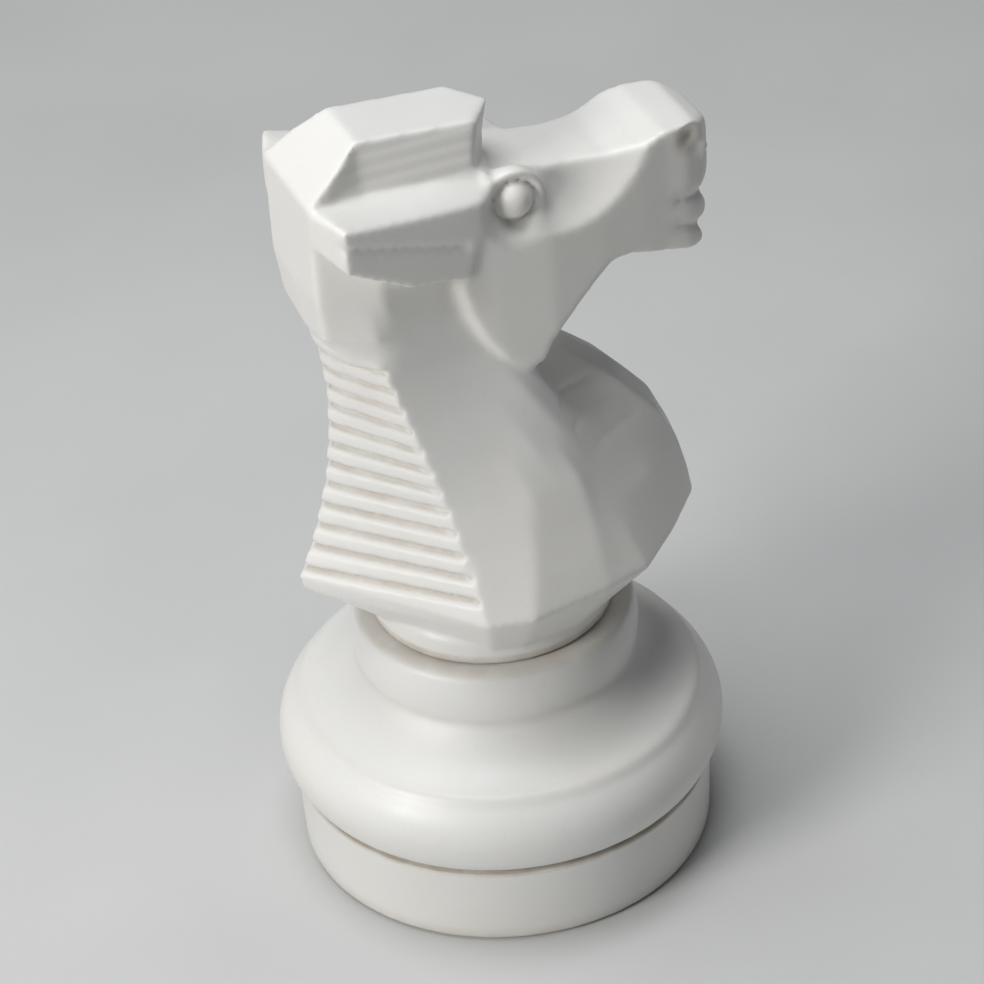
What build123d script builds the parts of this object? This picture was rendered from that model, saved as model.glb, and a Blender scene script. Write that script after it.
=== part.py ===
from build123d import *
import os
from math import atan2, cos, hypot, radians, sin

# Garden chess knight, blow-moulded in polyethylene.  Millimetres, +Z up, origin on
# the floor under the middle of the round base.  The horse looks along -Y and is
# symmetric about the plane X = 0.

# ---- driving dimensions -------------------------------------------------------
WALL = 3.2                # moulded wall of the base
FIT = 0.3                 # gap left between pieces that come apart

SKIRT_R = 113.0           # base pan at the floor
SKIRT_TOP_R = 114.5
SKIRT_H = 47.0            # top edge of the pan
GROOVE = 2.4              # open line between the pan and the base shell
GROOVE_R = 109.5          # bottom of that line
PAN_RIM_R = 105.0         # upstand of the pan, inside the shell
PAN_RIM_Z = 60.0
FOOT_ROUND = 4.0
PAN_TOP_ROUND = 1.2

SHELL_Z = SKIRT_H + GROOVE
BULB_R = 122.0            # widest ring of the base
BULB_Z = 72.0
CREST_R = 110.8           # soft edge above the bulb
CREST_Z = 94.2
COVE_Z = 119.0            # top of the hollow curve that leads to the collar
COLLAR_R = 78.0           # bead that holds the figure
COLLAR_Z = 149.0          # top face of the collar
SOCKET_R = 60.3           # bore in the collar
SOCKET_Z = 108.0
SPIGOT_R = 60.0           # round plug under the figure
SPIGOT_Z = 121.0
SEAT_R = 65.5             # foot of the figure, just above the collar
NECK_Z = 160.0            # where the sloping underside meets the round foot

PLUG_Y = 52.0             # middle of the filler plug
PLUG_BORE_R = 17.0
PLUG_POCKET_R = 26.0
PLUG_POCKET_H = 8.0
PLUG_FLANGE_R = 22.0
PLUG_FLANGE_T = 3.0
PLUG_STEM_L = 14.0
PLUG_RUN = 0.08           # radial clearance of the push-in plug in its neck
SEAL_T = 2.0
SAND_Z = 42.0             # level of the sand

RIB_GROOVES = 13          # grooves between the mane ribs
RIB_PITCH = 11.7
RIB_GROOVE = 4.5
RIB_DEPTH = 3.4
RIB_FIRST_Z = 202.5       # lowest groove, on the ridge at the back
RIB_CLIMB = 6.5           # degrees by which the ribs rise towards the chest

EYE_Y = -15.0
EYE_Z = 407.5
EYE_RING_R = 17.5
EYE_DISH_R = 14.0
EYE_BALL_R = 10.6

# Half outlines of the faceted neck and chest, one per level, from the ridge of the
# mane (first) round the side to the middle of the chest (last).  A corner keeps its
# place in the list, so every facet runs straight from level to level.  The mane's
# lower edge climbs forwards like its ribs: its back corners reach the lowest level.
BODY = {
    188: [
        (0, 106), (13, 96), (82, 33.5), (87.7, 11), (80, -32), (71.5, -55.5), (48, -79.5), (22, -100),
        (0, -102.5),
    ],
    196: [(0, 107), (13, 97), (88, 36), (94, 12), (85, -34), (77, -60), (52, -86), (24, -110), (0, -113)],
    213: [(0, 99), (12, 90.5), (80, 37), (86, 7), (79, -33), (71, -54), (48, -83), (24, -107), (0, -111)],
    232: [(0, 93), (11, 85.5), (71, 40), (77, 3), (71, -32), (65, -45), (46, -77), (24, -102), (0, -106)],
    254: [(0, 87), (10, 81), (62, 43), (68, -1), (63, -30), (58, -35), (39, -62), (23, -92), (0, -96)],
    278: [(0, 83.5), (9, 79), (56, 49), (57, -7), (52, -25), (50, -29), (28, -40), (20, -71), (0, -75)],
    304: [(0, 82), (9, 78.5), (49, 56), (46, -10), (42, -18), (40, -21), (22, -25), (14, -42), (0, -46)],
    330: [(0, 84), (12, 81), (43, 63), (37, 0), (36, -10), (32, -14), (20, -18), (12, -26), (0, -29)],
    352: [(0, 91), (30, 90), (42, 66), (36, 12), (34, 0), (30, -6), (20, -9), (10, -12), (0, -14)],
    378: [(0, 94), (33, 93), (44, 62), (36, 22), (34, 4), (30, -3), (20, -6), (10, -9), (0, -10)],
    426: [(0, 93), (33, 93), (44, 62), (36, 22), (34, 4), (30, -3), (20, -6), (10, -9), (0, -10)],
}
MANE_END = 3              # the ribs cover the first three corners of an outline
HOLLOW = 6                # corner at the bottom of the hollow under the chin
HOLLOW_LINES_Z = (257, 270, 283)
HOLLOW_LINE_H = 3.0
HOLLOW_LINE_D = 2.5
CAVITY_INSET = 11         # keeps the inside clear of every groove and hollow

# Side outline of the head and the cheek plate, (Y, Z), from the back of the poll
# over the forehead to the nose, then back along the mouth, chin and jaw.
HEAD_SIDE = [
    (93, 431), (2, 424), (-14, 420), (-28, 417.5), (-50, 415.5), (-70, 415), (-86, 418),
    (-99, 421.5), (-117, 421.5), (-127, 417), (-131.5, 408), (-132.5, 382), (-122, 375),
    (-128.5, 366), (-127.5, 361), (-118, 357), (-124, 352), (-122.5, 346.5), (-116, 345.5),
    (-104, 349), (-77, 358.5), (-66, 359), (-55, 350.5), (-39, 335), (-29, 325),
    (-19, 313), (-9, 310), (4, 322), (13, 336), (20, 352), (24, 368), (24, 384), (93, 400),
]
HEAD_CORE = 35.0
HEAD_HALF = 42.5
BACK_OF_JAW = 25          # first of the outline's corners along the back of the jaw
JAW_STEP = 6.5            # bevel behind the cheek plate
HEAD_CAVITY = [
    (82, 420), (-5, 408), (-40, 402), (-112, 404), (-113, 392), (-82, 370), (-62, 368),
    (-20, 322), (60, 322), (82, 350),
]
# Half outline of the head from above, (X, Y), from the back to the nose.
HEAD_PLAN = [
    (0, 93), (33, 93), (42, 66), (42, 0), (41, -30), (36.5, -60), (32, -85), (29, -100),
    (27.5, -112), (23, -121.5), (12, -129.5), (0, -133),
]
# The ears: a wedge that widens to the back.
EAR_SIDE = [(6, 424), (6, 400), (15, 377), (50, 385), (84, 406), (95, 412), (95, 432)]
EAR_PLAN = [(0, 93), (33, 93), (58.5, 84), (45, 15), (43, 6), (0, 6)]
EAR_PLAN_INNER = [(0, 93), (33, 93), (56.5, 83), (43, 15), (41, 6), (0, 6)]
EAR_GROOVE = [(15, 394), (15, 398), (86, 423.5), (86, 419)]
# What is taken off above the ears, (X, Z), at two places along Y: level at the back,
# sloping outwards at the front.
EAR_ROOF = {
    90: [(26, 432.6), (62, 431.2), (62, 446)],
    -2: [(26, 424.4), (52, 411.4), (52, 446)],
}
MOUTH_D = 3.5
MOUTH_SLITS = [
    [(-97, 382), (-97, 380), (-126, 373.5), (-126, 378)],
    [(-100, 367.5), (-100, 365.5), (-126, 354), (-126, 359)],
]
# The forelock block on top of the head: four layers with a groove under each, given
# as bottom, top, half width and the place of the pointed front.
CREST_SIDE = [(93, 422), (93, 432), (62, 455.5), (-20, 449.5), (-14, 422)]
CREST_LAYERS = [
    (422, 433.5, 25.5, -12.5),
    (433.5, 440, 24, -13.5),
    (440, 446.5, 22.5, -15),
    (446.5, 457, 21, -17),
]
CREST_GROOVE_H = 1.8
CREST_GROOVE_D = 2.2


def mirrored(half):
    """Close a half outline whose first and last corner lie on X = 0."""
    return half + [(-x, y) for x, y in reversed(half[1:-1])]


def shrunk(half, by):
    """Move every corner of a half outline towards the middle of its section."""
    middle = (half[0][1] + half[-1][1]) / 2
    out = []
    for x, y in half:
        reach = hypot(x, y - middle)
        keep = (reach - by) / reach
        out.append((x * keep, middle + (y - middle) * keep))
    return out


def on_circle(half, radius):
    """Corners on a circle, at the bearings of the corners of a half outline."""
    return [(radius * sin(atan2(x, y)), radius * cos(atan2(x, y))) for x, y in half]


def level(z, half):
    """One horizontal section, as a face."""
    with BuildSketch(Plane.XY.offset(z)) as section:
        with BuildLine():
            Polyline(*mirrored(half), close=True)
        make_face()
    return section.sketch


def side_prism(points, half_width):
    """A side outline, (Y, Z), extruded to both sides of X = 0."""
    with BuildPart() as prism:
        with BuildSketch(Plane.YZ):
            with BuildLine():
                Polyline(*points, close=True)
            make_face()
        extrude(amount=half_width, both=True)
    return prism.part


def plan_prism(half, low, high):
    """A half outline from above, (X, Y), extruded from low to high."""
    with BuildPart() as prism:
        with BuildSketch(Plane.XY.offset(low)):
            with BuildLine():
                Polyline(*mirrored(half), close=True)
            make_face()
        extrude(amount=high - low)
    return prism.part


def tilted_slab(z, thickness):
    """A thin slab that crosses the ridge of the mane at z and climbs forwards."""
    up = (0, sin(radians(RIB_CLIMB)), cos(radians(RIB_CLIMB)))
    with BuildPart() as slab:
        with BuildSketch(Plane(origin=(0, 84, z), x_dir=(1, 0, 0), z_dir=up)):
            Rectangle(260, 260)
        extrude(amount=thickness / 2, both=True)
    return slab.part


# ---- base pan: the plain skirt that stands on the ground -----------------------
with BuildPart() as base_pan:
    with BuildSketch(Plane.XZ):
        with BuildLine():
            Polyline(
                (0, 0),
                (SKIRT_R, 0),
                (SKIRT_TOP_R, SKIRT_H),
                (GROOVE_R, SKIRT_H),
                (GROOVE_R, SHELL_Z - FIT),
                (PAN_RIM_R, SHELL_Z - FIT),
                (PAN_RIM_R, PAN_RIM_Z),
                (PAN_RIM_R - WALL, PAN_RIM_Z),
                (PAN_RIM_R - WALL, SKIRT_H - WALL),
                (SKIRT_TOP_R - WALL, SKIRT_H - WALL),
                (SKIRT_R - WALL, WALL),
                (0, WALL),
                close=True,
            )
        make_face()
    revolve(axis=Axis.Z)
    fillet(base_pan.edges().group_by(Axis.Z)[0], radius=FOOT_ROUND)
    skirt_top = base_pan.edges().filter_by_position(Axis.Z, SKIRT_H - 0.1, SKIRT_H + 0.1)
    fillet(skirt_top.sort_by(SortBy.LENGTH)[-1], radius=PAN_TOP_ROUND)
    # pocket that keeps the filler plug off the ground, and the neck above it
    with BuildSketch(Plane.XY.offset(WALL)):
        with Locations((0, PLUG_Y)):
            Circle(PLUG_POCKET_R + WALL)
    extrude(amount=PLUG_POCKET_H)
    with BuildSketch(Plane.XY.offset(WALL)):
        with Locations((0, PLUG_Y)):
            Circle(PLUG_BORE_R + WALL)
    extrude(amount=PLUG_POCKET_H + PLUG_STEM_L)
    with BuildSketch(Plane.XY):
        with Locations((0, PLUG_Y)):
            Circle(PLUG_POCKET_R)
    extrude(amount=PLUG_POCKET_H, mode=Mode.SUBTRACT)
    with BuildSketch(Plane.XY):
        with Locations((0, PLUG_Y)):
            Circle(PLUG_BORE_R)
    extrude(amount=SAND_Z, mode=Mode.SUBTRACT)
base_pan.part.label = "base_pan"

# ---- washer between the plug's flange and the roof of the pocket ---------------
SEAL_Z = PLUG_POCKET_H - FIT - SEAL_T
with BuildPart() as plug_seal:
    with BuildSketch(Plane.XY.offset(SEAL_Z)):
        with Locations((0, PLUG_Y)):
            Circle(PLUG_FLANGE_R - 1)
            Circle(PLUG_BORE_R + FIT, mode=Mode.SUBTRACT)
    extrude(amount=SEAL_T)
plug_seal.part.label = "plug_seal"

# ---- filler plug: flange, hollow stem and a grip bar ---------------------------
FLANGE_Z = SEAL_Z - FIT - PLUG_FLANGE_T
with BuildPart() as filler_plug:
    with BuildSketch(Plane.XY.offset(FLANGE_Z)):
        with Locations((0, PLUG_Y)):
            Circle(PLUG_FLANGE_R)
    extrude(amount=PLUG_FLANGE_T)
    with BuildSketch(Plane.XY.offset(FLANGE_Z + PLUG_FLANGE_T)):
        with Locations((0, PLUG_Y)):
            Circle(PLUG_BORE_R - PLUG_RUN)
    extrude(amount=PLUG_STEM_L)
    with BuildSketch(Plane.XY.offset(FLANGE_Z)):
        with Locations((0, PLUG_Y)):
            Circle(PLUG_BORE_R - 4)
    extrude(amount=PLUG_FLANGE_T + PLUG_STEM_L - WALL, mode=Mode.SUBTRACT)
    with BuildSketch(Plane.XY.offset(FLANGE_Z)):
        with Locations((0, PLUG_Y)):
            Rectangle(2 * PLUG_BORE_R - 6, 4)
    extrude(amount=PLUG_FLANGE_T + PLUG_STEM_L - 1)
filler_plug.part.label = "filler_plug"

# ---- sand ballast, poured into the pan -----------------------------------------
with BuildPart() as sand_ballast:
    with BuildSketch(Plane.XZ):
        with BuildLine():
            Polyline(
                (0, WALL),
                (SKIRT_R - WALL, WALL),
                (SKIRT_R - WALL + 1, SAND_Z),
                (0, SAND_Z + 1),
                close=True,
            )
        make_face()
    revolve(axis=Axis.Z)
    with BuildSketch(Plane.XY.offset(WALL)):
        with Locations((0, PLUG_Y)):
            Circle(PLUG_POCKET_R + WALL)
    extrude(amount=PLUG_POCKET_H, mode=Mode.SUBTRACT)
    with BuildSketch(Plane.XY.offset(WALL)):
        with Locations((0, PLUG_Y)):
            Circle(PLUG_BORE_R + WALL)
    extrude(amount=PLUG_POCKET_H + PLUG_STEM_L, mode=Mode.SUBTRACT)
sand_ballast.part.label = "sand_ballast"

# ---- base shell: bulb, cove and collar -----------------------------------------
with BuildPart() as base_shell:
    with BuildSketch(Plane.XZ):
        with BuildLine():
            Line((PAN_RIM_R + FIT, SHELL_Z), (SKIRT_TOP_R - 1, SHELL_Z))
            ThreePointArc((SKIRT_TOP_R - 1, SHELL_Z), (BULB_R, BULB_Z), (CREST_R + 1, CREST_Z - 3))
            ThreePointArc((CREST_R + 1, CREST_Z - 3), (CREST_R, CREST_Z), (CREST_R - 3.4, CREST_Z + 1.8))
            ThreePointArc((CREST_R - 3.4, CREST_Z + 1.8), (89, 105.2), (COLLAR_R - 2, COVE_Z))
            ThreePointArc((COLLAR_R - 2, COVE_Z), (COLLAR_R, 134), (COLLAR_R - 1.5, COLLAR_Z - 4.5))
            ThreePointArc(
                (COLLAR_R - 1.5, COLLAR_Z - 4.5),
                (COLLAR_R - 3, COLLAR_Z - 1.3),
                (COLLAR_R - 6.5, COLLAR_Z),
            )
            Polyline(
                (COLLAR_R - 6.5, COLLAR_Z),
                (SOCKET_R, COLLAR_Z),
                (SOCKET_R, SOCKET_Z),
                (SOCKET_R + WALL, SOCKET_Z),
                (COLLAR_R - 6, COVE_Z - 4),
                (CREST_R - 7, CREST_Z - 3),
                (BULB_R - WALL - 1, BULB_Z + 8),
                (BULB_R - WALL - 1, BULB_Z - 8),
                (PAN_RIM_R + FIT + WALL, SHELL_Z + 4),
                (PAN_RIM_R + FIT, SHELL_Z + 4),
                (PAN_RIM_R + FIT, SHELL_Z),
            )
        make_face()
    revolve(axis=Axis.Z)
base_shell.part.label = "base_shell"

# ---- the horse -----------------------------------------------------------------
LEVELS = sorted(BODY)
NECK_BODY = loft([level(z, BODY[z]) for z in LEVELS], ruled=True)
UNDERSIDE = loft(
    [level(NECK_Z, on_circle(BODY[LEVELS[0]], SEAT_R + 0.7)), level(LEVELS[0], BODY[LEVELS[0]])],
    ruled=True,
)


def mane_band(z):
    """Section of the thin band along the mane in which the rib grooves are cut."""
    outer = shrunk(BODY[z], -1)[:MANE_END]
    inner = shrunk(BODY[z], RIB_DEPTH)[:MANE_END]
    right = outer + inner[::-1]
    left = [(-x, y) for x, y in inner[1:] + outer[:0:-1]]
    with BuildSketch(Plane.XY.offset(z)) as section:
        with BuildLine():
            Polyline(*(right + left), close=True)
        make_face()
    return section.sketch


MANE = loft([mane_band(z) for z in LEVELS if z < 370], ruled=True)


def hollow_band(z):
    """Section of the thin band in the hollow under the chin that its lines are cut in."""
    half = list(BODY[z])
    for beside in (HOLLOW - 1, HOLLOW + 1):
        half[beside] = tuple(0.75 * a + 0.25 * b for a, b in zip(half[beside], half[HOLLOW]))
    outer = shrunk(half, -5)[HOLLOW - 1:HOLLOW + 2]
    inner = shrunk(half, HOLLOW_LINE_D)[HOLLOW - 1:HOLLOW + 2]
    with BuildSketch(Plane.XY.offset(z)) as section:
        with BuildLine():
            Polyline(*(outer + inner[::-1]), close=True)
        make_face()
    return section.sketch


HOLLOW_BAND = loft([hollow_band(z) for z in LEVELS if 240 < z < 320], ruled=True)


def hollow_line(z):
    """One line across the hollow, on the horse's left."""
    with BuildPart() as line:
        with BuildSketch(Plane.XY.offset(z)):
            Rectangle(260, 260)
        extrude(amount=HOLLOW_LINE_H)
        add(HOLLOW_BAND, mode=Mode.INTERSECT)
    return line.part


def crest_outline(half_width, front):
    """Half outline of one layer of the forelock block."""
    return [(0, 93), (33, 93), (30, 80), (half_width, 62), (half_width, front + 14.5), (0, front)]


def ear_roof():
    """The wedge above the ear on the horse's left."""
    faces = []
    for y, points in EAR_ROOF.items():
        with BuildSketch(Plane(origin=(0, y, 0), x_dir=(1, 0, 0), z_dir=(0, -1, 0))) as section:
            with BuildLine():
                Polyline(*points, close=True)
            make_face()
        faces.append(section.sketch)
    with BuildPart() as wedge:
        loft(faces, ruled=True)
    return wedge.part


def cheek_layer():
    """Outer layer of the head on the horse's left, bevelled behind the jaw."""
    bevelled = []
    for i, (y, z) in enumerate(HEAD_SIDE):
        behind = BACK_OF_JAW <= i < len(HEAD_SIDE) - 1
        bevelled.append((y - JAW_STEP, z + 2) if behind else (y, z))
    faces = []
    for x, points in ((HEAD_CORE, HEAD_SIDE), (HEAD_HALF, bevelled)):
        with BuildSketch(Plane.YZ.offset(x)) as section:
            with BuildLine():
                Polyline(*points, close=True)
            make_face()
        faces.append(section.sketch)
    with BuildPart() as layer:
        loft(faces, ruled=True)
        add(plan_prism(HEAD_PLAN, 300, 440), mode=Mode.INTERSECT)
    return layer.part


def mouth_slit(points):
    """A slit round the muzzle, MOUTH_D deep, along a side outline."""
    inner = [(0, -60), (36.5 - MOUTH_D, -60)]
    inner += [(max(x - MOUTH_D, 0), y + MOUTH_D) for x, y in HEAD_PLAN if y < -60]
    return side_prism(points, 60) - plan_prism(inner, 300, 440)


def inside():
    """The air inside the moulding: spigot, neck and head."""
    sections = [level(LEVELS[0] + 6, shrunk(BODY[LEVELS[0]], CAVITY_INSET))]
    sections += [level(z, shrunk(BODY[z], CAVITY_INSET)) for z in LEVELS[1:] if z < 340]
    with BuildPart() as air:
        with BuildSketch(Plane.XY.offset(SPIGOT_Z + WALL)):
            Circle(SPIGOT_R - WALL - 1)
        extrude(amount=LEVELS[0] + 9 - SPIGOT_Z - WALL)
        add(loft(sections, ruled=True))
        add(side_prism(HEAD_CAVITY, 15))
    return air.part


CHEEK = cheek_layer()

with BuildPart() as knight_figure:
    with BuildSketch(Plane.XZ):
        with BuildLine():
            Polyline(
                (0, SPIGOT_Z),
                (SPIGOT_R - 2, SPIGOT_Z),
                (SPIGOT_R, SPIGOT_Z + 2),
                (SPIGOT_R, COLLAR_Z + FIT),
                (SEAT_R - 2, COLLAR_Z + FIT),
                (SEAT_R, COLLAR_Z + FIT + 2),
                (SEAT_R, NECK_Z + 4),
                (0, NECK_Z + 4),
                close=True,
            )
        make_face()
    revolve(axis=Axis.Z)
    add(UNDERSIDE)
    add(NECK_BODY)
    for i in range(RIB_GROOVES):
        add(tilted_slab(RIB_FIRST_Z + i * RIB_PITCH, RIB_GROOVE) & MANE, mode=Mode.SUBTRACT)
    for z in HOLLOW_LINES_Z:
        add(hollow_line(z), mode=Mode.SUBTRACT)
        add(mirror(hollow_line(z), about=Plane.YZ), mode=Mode.SUBTRACT)
    # head, with the cheek plates
    add(side_prism(HEAD_SIDE, HEAD_CORE) & plan_prism(HEAD_PLAN, 300, 440))
    add(CHEEK)
    add(mirror(CHEEK, about=Plane.YZ))
    # ears, with a groove along the outside and a top that slopes to the eye
    add(side_prism(EAR_SIDE, 70) & plan_prism(EAR_PLAN, 370, 440))
    add(side_prism(EAR_GROOVE, 70) - plan_prism(EAR_PLAN_INNER, 370, 440), mode=Mode.SUBTRACT)
    add(ear_roof(), mode=Mode.SUBTRACT)
    add(mirror(ear_roof(), about=Plane.YZ), mode=Mode.SUBTRACT)
    # forelock block
    for low, high, half_width, front in CREST_LAYERS:
        layer = plan_prism(crest_outline(half_width, front), low + CREST_GROOVE_H, high)
        neck_outline = crest_outline(half_width - CREST_GROOVE_D, front + CREST_GROOVE_D)
        neck = plan_prism(neck_outline, low, low + CREST_GROOVE_H)
        add(side_prism(CREST_SIDE, 60) & layer)
        add(side_prism(CREST_SIDE, 60) & neck)
    for side in (-1, 1):
        # the seam of every round piece faces inwards
        facing = (0, 0, 90 + 90 * side)
        # hollow cheek
        with Locations(Location((side * 98, -50, 440), facing)):
            Sphere(80.5, mode=Mode.SUBTRACT)
        # eye: a raised ring, a dish in it and the ball
        with Locations(Location((side * 28.5, EYE_Y, EYE_Z), (0, 90 * side, 0))):
            Cylinder(EYE_RING_R, 11)
        with Locations(Location((side * 37.25, EYE_Y, EYE_Z), (0, 90 * side, 0))):
            Cone(EYE_DISH_R - 2.5, EYE_DISH_R + 7, 14.5, mode=Mode.SUBTRACT)
        with Locations(Location((side * 29, EYE_Y, EYE_Z), facing)):
            Sphere(EYE_BALL_R)
        # nostril, and the small bulge in front of it
        with Locations(Location((side * 29, -114, 415), facing)):
            Sphere(6.5, mode=Mode.SUBTRACT)
        with Locations(Location((side * 21, -121.5, 404), facing)):
            Sphere(4.6)
    for slit in MOUTH_SLITS:
        add(mouth_slit(slit), mode=Mode.SUBTRACT)
    # the moulding is hollow
    add(inside(), mode=Mode.SUBTRACT)
knight_figure.part.label = "knight_figure"

os.makedirs("parts", exist_ok=True)
for piece in (base_pan, plug_seal, filler_plug, sand_ballast, base_shell, knight_figure):
    export_step(piece.part, f"parts/{piece.part.label}.step")
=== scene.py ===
import math

import bmesh
import bpy
import numpy as np
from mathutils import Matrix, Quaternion, Vector


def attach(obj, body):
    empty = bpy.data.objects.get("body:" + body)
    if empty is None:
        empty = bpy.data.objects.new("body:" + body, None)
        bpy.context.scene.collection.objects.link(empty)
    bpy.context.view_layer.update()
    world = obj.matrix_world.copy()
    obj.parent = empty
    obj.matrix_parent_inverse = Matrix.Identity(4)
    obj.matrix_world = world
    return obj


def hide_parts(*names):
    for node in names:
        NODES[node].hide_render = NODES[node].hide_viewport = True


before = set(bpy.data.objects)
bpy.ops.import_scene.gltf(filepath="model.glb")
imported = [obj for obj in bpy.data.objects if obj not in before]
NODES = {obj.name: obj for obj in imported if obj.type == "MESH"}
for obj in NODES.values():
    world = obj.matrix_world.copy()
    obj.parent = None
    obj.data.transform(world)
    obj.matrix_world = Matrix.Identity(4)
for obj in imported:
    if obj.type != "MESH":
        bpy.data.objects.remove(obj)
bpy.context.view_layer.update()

MM = 0.001
SCENE = bpy.context.scene
SCENE.view_settings.view_transform = "Standard"

# ---- figure: soft moulded skin ---------------------------------------------------
VOXEL = 1.35 * MM
SMOOTH_STEP = 0.5          # share of the way to the neighbours' mean, per round
ROUND_SIGMA = 2.3 * MM     # softness of the moulded edges
FADE_ROUNDS = 12           # how many times more rounds the faded details get
WELD = 1e-6                # joins the points that the faces of a CAD mesh share

# Regions of the figure, in millimetres; a soft edge is given by its two ends.
EYE_Y, EYE_Z = -15, 407.5
EYEBALL_EDGE = (11, 13)
EYE_RING_EDGES = (12, 14), (20, 24)
EYE_SIDE = (20, 26)
MANE_FRONT = (22, 30)
MANE_ENDS = (192, 198), (337, 343)
TOP_GROOVE_ENDS = (338, 341), (350, 354)
TOP_GROOVE_FRONT = (48, 56)
TOP_GROOVE_SIDE = (22, 28)
LIPS_BACK = (-100, -90)
LIPS_ENDS = (332, 340), (382, 390)
CREST_FOOT = (424, 428)
CREST_SIDE = (27, 30)
CREST_FRONT = (-24, -20)
FOOT_TOP = (160, 166)


def outer_shell(mesh):
    """Welds a mesh and keeps only its largest connected shell."""
    bm = bmesh.new()
    bm.from_mesh(mesh)
    bmesh.ops.remove_doubles(bm, verts=bm.verts, dist=WELD)
    seen, shells = set(), []
    for start in bm.verts:
        if start in seen:
            continue
        seen.add(start)
        stack, shell = [start], []
        while stack:
            v = stack.pop()
            shell.append(v)
            for edge in v.link_edges:
                other = edge.other_vert(v)
                if other not in seen:
                    seen.add(other)
                    stack.append(other)
        shells.append(shell)

    def span(shell):
        zs = [v.co.z for v in shell]
        return max(zs) - min(zs)

    shells.sort(key=span)
    inner = [v for shell in shells[:-1] for v in shell]
    bmesh.ops.delete(bm, geom=inner, context="VERTS")
    bm.to_mesh(mesh)
    bm.free()


def smoothstep(edge, x):
    """0 before a soft edge and 1 behind it."""
    low, high = edge
    t = np.clip((x - low) / (high - low), 0.0, 1.0)
    return t * t * (3 - 2 * t)


def band(edges, x):
    """1 between two soft edges."""
    rise, fall = edges
    return smoothstep(rise, x) * (1 - smoothstep(fall, x))


def in_millimetres(co):
    """Distance to the side, Y and Z of every point."""
    return np.abs(co[:, 0]) / MM, co[:, 1] / MM, co[:, 2] / MM


def figure_softness(co):
    """How much each point of the figure is rounded, from 0 to 1."""
    x, y, z = in_millimetres(co)
    ribs = smoothstep(MANE_FRONT, y) * band(MANE_ENDS, z)
    eyeball = 1 - smoothstep(EYEBALL_EDGE, np.hypot(y - EYE_Y, z - EYE_Z))
    crest = smoothstep(CREST_FOOT, z) * (1 - smoothstep(CREST_SIDE, x)) * smoothstep(CREST_FRONT, y)
    foot = 1 - smoothstep(FOOT_TOP, z)
    weight = np.ones(len(co))
    for mask, value in ((ribs, 0.28), (eyeball, 0.3), (crest, 0.8), (foot, 0.2)):
        weight = weight * (1 - mask) + value * mask
    return weight


def faded_details(co):
    """Extra rounding, 0 to 1: the mane's uppermost groove, the lips and the eye's ring."""
    x, y, z = in_millimetres(co)
    groove = band(TOP_GROOVE_ENDS, z) * smoothstep(TOP_GROOVE_FRONT, y) * smoothstep(TOP_GROOVE_SIDE, x)
    lips = (1 - smoothstep(LIPS_BACK, y)) * band(LIPS_ENDS, z)
    ring = band(EYE_RING_EDGES, np.hypot(y - EYE_Y, z - EYE_Z)) * smoothstep(EYE_SIDE, x)
    return np.maximum(groove, np.maximum(0.2 * lips, 0.12 * ring))


def smooth_points(co, edges, weight, rounds):
    """Laplacian rounds, each point weighted."""
    n = len(co)
    a, b = edges[:, 0], edges[:, 1]
    degree = np.bincount(a, minlength=n) + np.bincount(b, minlength=n)
    for _ in range(rounds):
        mean = np.empty_like(co)
        for k in range(3):
            total = np.bincount(a, weights=co[b, k], minlength=n)
            total += np.bincount(b, weights=co[a, k], minlength=n)
            mean[:, k] = total / degree
        co = co + (mean - co) * (weight * SMOOTH_STEP)[:, None]
    return co


def moulded_skin(node, name, softness):
    """A voxel copy of a CAD node with soft edges, as a new object."""
    source = NODES[node].data.copy()
    outer_shell(source)
    rough = bpy.data.objects.new(name + "_rough", source)
    SCENE.collection.objects.link(rough)
    remesh = rough.modifiers.new("voxels", "REMESH")
    remesh.mode = "VOXEL"
    remesh.voxel_size = VOXEL
    bpy.context.view_layer.update()
    graph = bpy.context.evaluated_depsgraph_get()
    mesh = bpy.data.meshes.new_from_object(rough.evaluated_get(graph))
    bpy.data.objects.remove(rough)
    mesh.name = name
    n = len(mesh.vertices)
    co = np.empty(n * 3)
    mesh.vertices.foreach_get("co", co)
    co = co.reshape(-1, 3)
    edges = np.empty(len(mesh.edges) * 2, np.int64)
    mesh.edges.foreach_get("vertices", edges)
    edges = edges.reshape(-1, 2)
    rounds = max(2, round(2 * ROUND_SIGMA ** 2 / (SMOOTH_STEP * VOXEL ** 2)))
    co = smooth_points(co, edges, softness(co), rounds)
    co = smooth_points(co, edges, faded_details(co), FADE_ROUNDS * rounds)
    mesh.vertices.foreach_set("co", co.ravel())
    mesh.materials.clear()
    mesh.update()
    mesh.shade_smooth()
    made = bpy.data.objects.new(name, mesh)
    SCENE.collection.objects.link(made)
    return made


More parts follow.
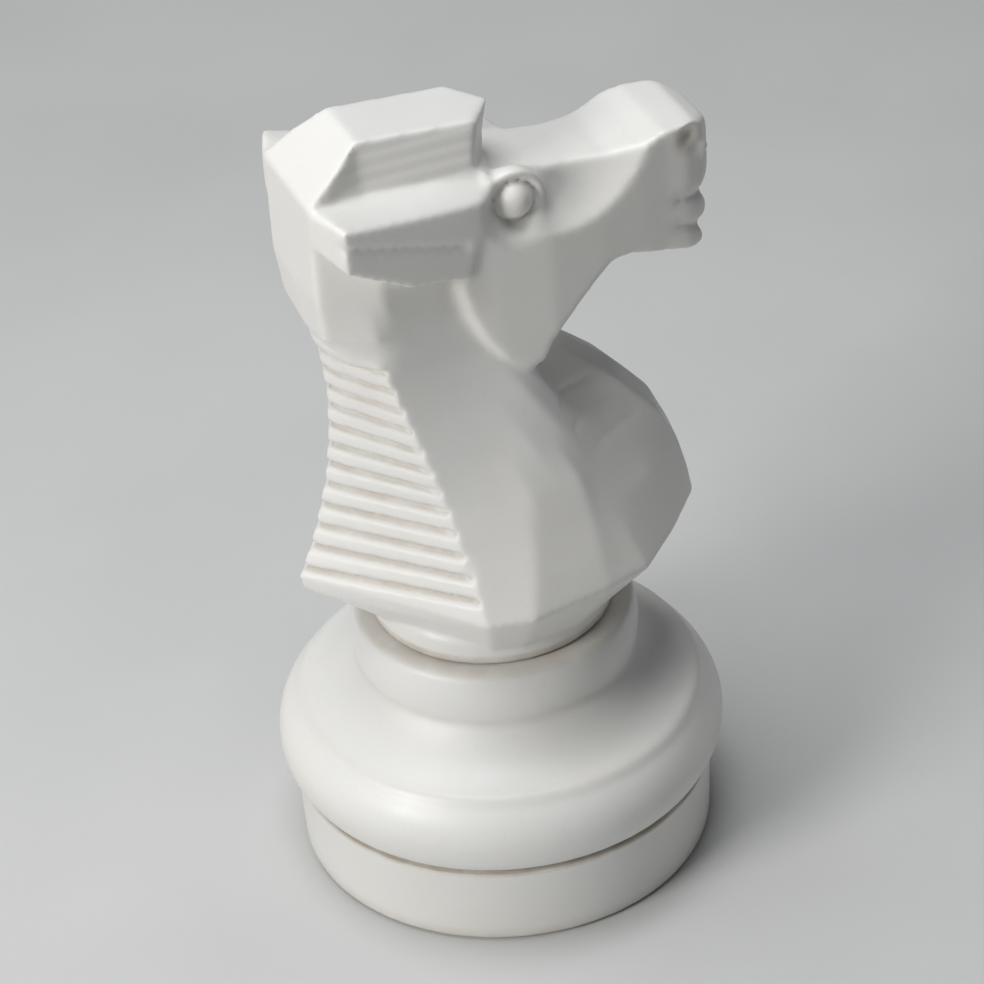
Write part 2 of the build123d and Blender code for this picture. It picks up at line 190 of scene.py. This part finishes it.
# ---- materials ---------------------------------------------------------------------
class Graph:
    """Short names for building a node material."""

    def __init__(self, name):
        self.material = bpy.data.materials.new(name)
        self.material.use_nodes = True
        self.nodes = self.material.node_tree.nodes
        self.links = self.material.node_tree.links
        self.shader = self.nodes["Principled BSDF"]
        self.where = self.nodes.new("ShaderNodeTexCoord").outputs["Object"]

    def plug(self, socket, value):
        """Links an output to a socket, or sets the socket's own value."""
        if isinstance(value, bpy.types.NodeSocket):
            self.links.new(value, socket)
        elif value is not None:
            socket.default_value = value

    def noise(self, scale, detail=3.0, rough=0.5, stretch=None):
        """Noise by place; stretch scales the place along X, Y and Z first."""
        node = self.nodes.new("ShaderNodeTexNoise")
        source = self.where
        if stretch:
            mapping = self.nodes.new("ShaderNodeMapping")
            mapping.inputs["Scale"].default_value = stretch
            self.links.new(source, mapping.inputs["Vector"])
            source = mapping.outputs["Vector"]
        self.links.new(source, node.inputs["Vector"])
        node.inputs["Scale"].default_value = scale
        node.inputs["Detail"].default_value = detail
        node.inputs["Roughness"].default_value = rough
        return node.outputs["Fac"]

    def ramp(self, fac, low, high, low_to=0.0, high_to=1.0):
        """A smooth step from low_to at low to high_to at high."""
        node = self.nodes.new("ShaderNodeMapRange")
        node.interpolation_type = "SMOOTHSTEP"
        self.plug(node.inputs["Value"], fac)
        limits = {"From Min": low, "From Max": high, "To Min": low_to, "To Max": high_to}
        for key, value in limits.items():
            node.inputs[key].default_value = value
        return node.outputs["Result"]

    def math(self, kind, a, b=None):
        node = self.nodes.new("ShaderNodeMath")
        node.operation = kind
        self.plug(node.inputs[0], a)
        self.plug(node.inputs[1], b)
        return node.outputs["Value"]

    def mix(self, fac, a, b, blend="MIX"):
        node = self.nodes.new("ShaderNodeMix")
        node.data_type = "RGBA"
        node.blend_type = blend
        self.plug(node.inputs[0], fac)
        self.plug(node.inputs[6], a)
        self.plug(node.inputs[7], b)
        return node.outputs[2]

    def axis(self, index):
        """One coordinate of the place on the object: 0, 1, 2 for X, Y, Z."""
        node = self.nodes.new("ShaderNodeSeparateXYZ")
        self.links.new(self.where, node.inputs[0])
        return node.outputs[index]

    def near(self, centre, radius, inner=0.0):
        """1 at a point of the object, falling to 0 at a radius."""
        node = self.nodes.new("ShaderNodeVectorMath")
        node.operation = "DISTANCE"
        self.links.new(self.where, node.inputs[0])
        node.inputs[1].default_value = centre
        return self.ramp(node.outputs["Value"], inner, radius, 1.0, 0.0)

    def bump(self, height, strength, distance, below=None):
        node = self.nodes.new("ShaderNodeBump")
        node.inputs["Strength"].default_value = strength
        node.inputs["Distance"].default_value = distance
        self.links.new(height, node.inputs["Height"])
        if below is not None:
            self.links.new(below, node.inputs["Normal"])
        return node.outputs["Normal"]


WHITE = (0.80, 0.795, 0.775, 1)
WARM = (0.78, 0.755, 0.70, 1)
TAN = (0.46, 0.38, 0.27, 1)
GREY = (0.66, 0.66, 0.65, 1)


def polyethylene(name, creases, shade_spots=()):
    """White blow-moulded polyethylene with orange peel, scuffs, and tan in the creases and spots: dust
    and painted shade.
    """
    g = Graph(name)
    cloud = g.ramp(g.noise(9, 4), 0.35, 0.7)
    colour = g.mix(g.math("MULTIPLY", cloud, 0.45), WHITE, WARM)
    speck = g.ramp(g.noise(420, 2, 0.6), 0.60, 0.74)
    colour = g.mix(g.math("MULTIPLY", speck, 0.22), colour, GREY)
    scuff = g.ramp(g.noise(26, 8, 0.75, stretch=(1, 1, 2.6)), 0.60, 0.72)
    colour = g.mix(g.math("MULTIPLY", scuff, 0.16), colour, GREY)
    # Tan in the creases, joints and spots: dust and painted shade.
    dust_and_shade = creases(g)
    ragged = g.ramp(g.noise(60, 5, 0.65), 0.25, 0.65, 0.35, 1.0)
    dust_and_shade = g.math("MULTIPLY", dust_and_shade, ragged)
    # Painted shade spots, the same on both sides.
    for centre, radius, amount in shade_spots:
        for side in (-1, 1):
            spot = g.near((side * centre[0], centre[1], centre[2]), radius)
            spot = g.math("MULTIPLY", g.math("MULTIPLY", spot, amount), ragged)
            dust_and_shade = g.math("MAXIMUM", dust_and_shade, spot)
    colour = g.mix(dust_and_shade, colour, TAN)
    g.plug(g.shader.inputs["Base Color"], colour)
    gloss = g.ramp(g.noise(38, 5, 0.6), 0.3, 0.75, 0.36, 0.50)
    gloss = g.math("ADD", gloss, g.math("MULTIPLY", scuff, 0.14))
    gloss = g.math("ADD", gloss, g.math("MULTIPLY", dust_and_shade, 0.30))
    g.plug(g.shader.inputs["Roughness"], gloss)
    waves = g.bump(g.noise(28, 2, 0.4), 0.35, 0.0011)
    peel = g.bump(g.noise(520, 2, 0.55), 0.22, 0.00022, waves)
    normal = g.bump(scuff, 0.12, 0.0002, peel)
    g.plug(g.shader.inputs["Normal"], normal)
    g.shader.inputs["Subsurface Weight"].default_value = 0.12
    g.shader.inputs["Subsurface Radius"].default_value = (1.0, 0.9, 0.75)
    g.shader.inputs["Subsurface Scale"].default_value = 0.004
    g.shader.inputs["IOR"].default_value = 1.5
    return g.material


# The mane's grooves, as in the CAD: how far apart, half their height, and where the
# lowest one crosses the ridge.
RIB_PITCH = 11.7 * MM
RIB_HALF = 2.25 * MM
RIB_FIRST = 202.5 * MM
RIB_RIDGE_Y = 84 * MM
RIB_SLOPE = math.tan(math.radians(6.5))
LAST_CLEAR_RIB = 11.6      # in pitches above the lowest groove
MANE_CORNER_Y = 35 * MM    # the mane's side edge at the bottom, and how it slopes back
MANE_CORNER_Z = 196 * MM
MANE_CORNER_SLOPE = 0.2

# Heights of the painted shade round the figure's foot, in the gap above the collar: it ends above
# the collar, and thins out on the spigot.
FOOT_SHADE = (153.5 * MM, 156.5 * MM)
SPIGOT_SHADE = (147.5 * MM, 150.5 * MM)


def rib_grooves(g):
    """1 in the grooves of the mane, by position."""
    y, z = g.axis(1), g.axis(2)
    climb = g.math("MULTIPLY", g.math("SUBTRACT", y, RIB_RIDGE_Y), RIB_SLOPE)
    phase = g.math("DIVIDE", g.math("SUBTRACT", g.math("ADD", z, climb), RIB_FIRST), RIB_PITCH)
    turn = g.math("FRACT", g.math("ADD", phase, 0.5))
    away = g.math("MULTIPLY", g.math("ABSOLUTE", g.math("SUBTRACT", turn, 0.5)), RIB_PITCH)
    groove = g.ramp(away, RIB_HALF + 0.3 * MM, RIB_HALF - 0.9 * MM)
    groove = g.math("MULTIPLY", groove, g.ramp(phase, -0.4, -0.3))
    groove = g.math("MULTIPLY", groove, g.ramp(phase, LAST_CLEAR_RIB, LAST_CLEAR_RIB - 0.1))
    above = g.math("SUBTRACT", z, MANE_CORNER_Z)
    corner = g.math("ADD", g.math("MULTIPLY", above, MANE_CORNER_SLOPE), MANE_CORNER_Y)
    return g.math("MULTIPLY", groove, g.ramp(g.math("SUBTRACT", y, corner), -1.0 * MM, 1.5 * MM))


def figure_creases(g):
    """Tan in the concave creases, the mane's grooves and at the foot above the collar: dust and painted
    shade in the creases, painted shade in the grooves and in the gap at the foot.
    """
    pointy = g.nodes.new("ShaderNodeNewGeometry").outputs["Pointiness"]
    # Concave creases: dust and painted shade.
    crease = g.ramp(pointy, 0.485, 0.44, 0.0, 0.30)
    # Painted shade of the gap where the foot sits in the collar.
    foot = g.ramp(g.axis(2), *FOOT_SHADE, 0.55, 0.0)
    foot = g.math("MULTIPLY", foot, g.ramp(g.axis(2), *SPIGOT_SHADE, 0.25, 1.0))
    # Painted shade in the mane's grooves.
    mane = g.math("MULTIPLY", rib_grooves(g), 0.42)
    return g.math("MAXIMUM", g.math("MAXIMUM", crease, foot), mane)


def ring_creases(bands):
    """Darker tan bands at given heights of a round piece: (middle, half height, amount)."""
    def make(g):
        total = None
        for middle, half, amount in bands:
            away = g.math("ABSOLUTE", g.math("SUBTRACT", g.axis(2), middle * MM))
            band = g.ramp(away, half * MM, 0.0, 0.0, amount)
            total = band if total is None else g.math("MAXIMUM", total, band)
        return total
    return make


def sand_material():
    g = Graph("dry_sand")
    grain = g.noise(900, 3, 0.7)
    colour = g.mix(g.ramp(grain, 0.35, 0.65), (0.30, 0.23, 0.14, 1), (0.66, 0.55, 0.38, 1))
    colour = g.mix(g.ramp(g.noise(30, 4), 0.4, 0.7, 0.0, 0.5), colour, (0.50, 0.40, 0.26, 1))
    g.plug(g.shader.inputs["Base Color"], colour)
    g.plug(g.shader.inputs["Roughness"], g.ramp(grain, 0.3, 0.7, 0.8, 1.0))
    g.plug(g.shader.inputs["Normal"], g.bump(grain, 0.8, 0.0008, g.bump(g.noise(55, 3), 0.7, 0.003)))
    return g.material


def rubber_material():
    g = Graph("seal_rubber")
    grain = g.noise(700, 3, 0.6)
    dust = g.ramp(g.noise(60, 5), 0.45, 0.7)
    colour = g.mix(g.math("MULTIPLY", dust, 0.5), (0.022, 0.022, 0.023, 1), (0.09, 0.085, 0.075, 1))
    g.plug(g.shader.inputs["Base Color"], colour)
    g.plug(g.shader.inputs["Roughness"], g.ramp(dust, 0.0, 1.0, 0.62, 0.85))
    g.plug(g.shader.inputs["Normal"], g.bump(grain, 0.3, 0.0002))
    return g.material


def floor_material():
    g = Graph("pale_floor")
    patch = g.ramp(g.noise(3.0, 4), 0.3, 0.7)
    colour = g.mix(patch, (0.60, 0.605, 0.60, 1), (0.64, 0.642, 0.635, 1))
    g.plug(g.shader.inputs["Base Color"], colour)
    g.plug(g.shader.inputs["Roughness"], g.ramp(patch, 0, 1, 0.75, 0.85))
    g.plug(g.shader.inputs["Normal"], g.bump(g.noise(240, 3), 0.15, 0.0004))
    return g.material


# ---- pieces --------------------------------------------------------------------------
# Painted shade spots on both sides of the figure, in the nostril pit, under the chin and behind the cheek
# plate: middle, radius, amount.
FIGURE_SHADE_SPOTS = (
    ((0.028, -0.113, 0.412), 0.012, 0.75),   # nostril
    ((0.012, -0.045, 0.352), 0.030, 0.35),   # under the chin
    ((0.041, 0.018, 0.365), 0.020, 0.30),    # behind the cheek plate
)

skin = moulded_skin("knight_figure", "figure_skin", figure_softness)
skin.data.materials.append(polyethylene("figure_polyethylene", figure_creases, FIGURE_SHADE_SPOTS))
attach(skin, "figure")
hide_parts("knight_figure")


SHARP_EDGE = math.radians(32)


def finish_cad(node, material, edge):
    """A carried-over CAD node: welded, with small rounded edges and its own material."""
    obj = NODES[node]
    weld = obj.modifiers.new("weld", "WELD")
    weld.merge_threshold = WELD
    bevel = obj.modifiers.new("edges", "BEVEL")
    bevel.width = edge
    bevel.segments = 3
    bevel.limit_method = "ANGLE"
    bevel.angle_limit = SHARP_EDGE
    bevel.harden_normals = True
    obj.data.shade_smooth()
    obj.data.materials.clear()
    obj.data.materials.append(material)


def three_point_arc(a, b, c, steps=24):
    """Points along the circle arc from a through b to c, without c."""
    (ax, ay), (bx, by), (cx, cy) = a, b, c
    d = 2 * (ax * (by - cy) + bx * (cy - ay) + cx * (ay - by))
    aa, bb, cc = ax * ax + ay * ay, bx * bx + by * by, cx * cx + cy * cy
    ux = (aa * (by - cy) + bb * (cy - ay) + cc * (ay - by)) / d
    uy = (aa * (cx - bx) + bb * (ax - cx) + cc * (bx - ax)) / d
    start, middle, end = (math.atan2(y - uy, x - ux) for x, y in (a, b, c))
    if (middle - start) % math.tau > (end - start) % math.tau:
        sweep = -((start - end) % math.tau)
    else:
        sweep = (end - start) % math.tau
    radius = math.hypot(ax - ux, ay - uy)
    angles = [start + sweep * i / steps for i in range(steps)]
    return [(ux + radius * math.cos(t), uy + radius * math.sin(t)) for t in angles]


def soft_profile(points, spacing, rounds):
    """A closed (radius, height) outline, evenly spaced, with softened corners."""
    closed = np.array(points + points[:1])
    steps = np.hypot(*np.diff(closed, axis=0).T)
    along = np.concatenate([[0], np.cumsum(steps)])
    count = int(along[-1] / spacing)
    t = np.arange(count) * along[-1] / count
    line = np.stack([np.interp(t, along, closed[:, k]) for k in (0, 1)], axis=1)
    for _ in range(rounds):
        mean = (np.roll(line, 1, axis=0) + np.roll(line, -1, axis=0)) / 2
        line = line + (mean - line) * 0.5
    return line


def lathe(name, profile, around=240):
    """A closed ring of revolution about the Z axis, from a profile in millimetres."""
    n = len(profile)
    turn = np.arange(around) * math.tau / around
    r, z = profile[:, 0] * MM, profile[:, 1] * MM
    co = np.stack([np.outer(np.cos(turn), r), np.outer(np.sin(turn), r), np.tile(z, (around, 1))], axis=2)
    faces = []
    for i in range(around):
        j = (i + 1) % around
        for k in range(n):
            m = (k + 1) % n
            faces.append((i * n + k, j * n + k, j * n + m, i * n + m))
    mesh = bpy.data.meshes.new(name)
    mesh.from_pydata(co.reshape(-1, 3).tolist(), [], faces)
    mesh.update()
    mesh.shade_smooth()
    made = bpy.data.objects.new(name, mesh)
    SCENE.collection.objects.link(made)
    return made


# Outline of the base shell as in the CAD, (radius, height), from its lower edge up the
# outside and down the inside.
LOWER_EDGE = (113.5, 49.4)
BULB = (122, 72)
BULB_TOP = (111.8, 91.2)
CREST = (110.8, 94.2)
CREST_TOP = (107.4, 96)
COVE = (89, 105.2)
COVE_TOP = (76, 119)
COLLAR = (78, 134)
COLLAR_TOP = (76.5, 144.5)
COLLAR_ROUND = (75, 147.7)
COLLAR_FACE = (71.5, 149)
SOCKET = [(60.3, 149), (60.3, 108), (63.5, 108)]
SHELL_INSIDE = [
    (72, 115), (103.8, 91.2), (117.8, 80), (117.8, 64), (108.5, 53.4), (105.3, 53.4), (105.3, 49.4),
]
SMALL_ARC = 8
SHELL_OUTLINE = (
    three_point_arc(LOWER_EDGE, BULB, BULB_TOP)
    + three_point_arc(BULB_TOP, CREST, CREST_TOP, SMALL_ARC)
    + three_point_arc(CREST_TOP, COVE, COVE_TOP)
    + three_point_arc(COVE_TOP, COLLAR, COLLAR_TOP)
    + three_point_arc(COLLAR_TOP, COLLAR_ROUND, COLLAR_FACE, SMALL_ARC)
    + [COLLAR_FACE]
    + SOCKET
    + SHELL_INSIDE
)
PROFILE_SPACING = 1.5
PROFILE_ROUNDS = 3

# Darker bands: middle and half height in millimetres, amount.
# Shell: painted shade at the cove's foot, the collar's seat, the lower groove and the crest's step.
SHELL_BANDS = [(119.5, 5.0, 0.16), (149.0, 3.0, 0.30), (49.5, 3.0, 0.45), (95.0, 2.5, 0.10)]
# Pan: painted shade in the groove under the shell, and darker towards the bottom.
PAN_BANDS = [(47.0, 2.4, 0.55), (1.0, 9.0, 0.35), (48.5, 2.0, 0.8)]
# Plug: a darker band near its bottom.
PLUG_BANDS = [(2.4, 2.0, 0.4)]
MOULDED_EDGE = 0.5 * MM
RUBBER_EDGE = 0.3 * MM

shell = lathe("base_shell_skin", soft_profile(SHELL_OUTLINE, PROFILE_SPACING, PROFILE_ROUNDS))
shell.data.materials.append(polyethylene("shell_polyethylene", ring_creases(SHELL_BANDS)))
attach(shell, "shell")
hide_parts("base_shell")
finish_cad("base_pan", polyethylene("pan_polyethylene", ring_creases(PAN_BANDS)), MOULDED_EDGE)
finish_cad("filler_plug", polyethylene("plug_polyethylene", ring_creases(PLUG_BANDS)), MOULDED_EDGE)
finish_cad("plug_seal", rubber_material(), RUBBER_EDGE)
finish_cad("sand_ballast", sand_material(), MOULDED_EDGE)

# ---- floor, light, camera ----------------------------------------------------------------
FLOOR_HALF = 6.0
FLOOR_DROP = 0.3 * MM      # keeps the floor clear of the pan's underside

bm = bmesh.new()
bmesh.ops.create_grid(bm, x_segments=8, y_segments=8, size=FLOOR_HALF)
floor_mesh = bpy.data.meshes.new("floor")
bm.to_mesh(floor_mesh)
bm.free()
floor = bpy.data.objects.new("floor", floor_mesh)
SCENE.collection.objects.link(floor)
floor_mesh.materials.append(floor_material())
floor.location.z = -FLOOR_DROP


def area_light(name, place, size, power, colour):
    """A square lamp that faces the middle of the piece."""
    data = bpy.data.lights.new(name, "AREA")
    data.shape = "SQUARE"
    data.size = size
    data.energy = power
    data.color = colour
    lamp = bpy.data.objects.new(name, data)
    SCENE.collection.objects.link(lamp)
    lamp.location = place
    lamp.rotation_mode = "QUATERNION"
    aim = MIDDLE - Vector(place)
    lamp.rotation_quaternion = aim.to_track_quat("-Z", "Y")


MIDDLE = Vector((0.0, 0.0, 0.22))
area_light("key", (-0.84, 2.38, 1.40), 1.0, 44, (1.0, 0.985, 0.96))
area_light("top", (0.2, 0.3, 2.8), 1.8, 50, (0.97, 0.985, 1.0))

world = bpy.data.worlds.new("studio")
SCENE.world = world
world.use_nodes = True
sky = world.node_tree.nodes["Background"]
sky.inputs["Color"].default_value = (0.93, 0.96, 1.0, 1)
sky.inputs["Strength"].default_value = 0.10

CAMERA_PLACE = Vector((-1.594, 0.584, 1.400))
CAMERA_TARGET = Vector((0.0, -0.004, 0.214))
CAMERA_ROLL = math.radians(-4.1)
camera_data = bpy.data.cameras.new("camera")
camera_data.lens = 143
camera_data.sensor_width = 36
camera_data.clip_start = 0.05
camera_data.clip_end = 60
camera = bpy.data.objects.new("camera", camera_data)
SCENE.collection.objects.link(camera)
camera.location = CAMERA_PLACE
camera.rotation_mode = "QUATERNION"
look = (CAMERA_TARGET - CAMERA_PLACE).to_track_quat("-Z", "Y")
camera.rotation_quaternion = look @ Quaternion((0, 0, 1), CAMERA_ROLL)
SCENE.camera = camera
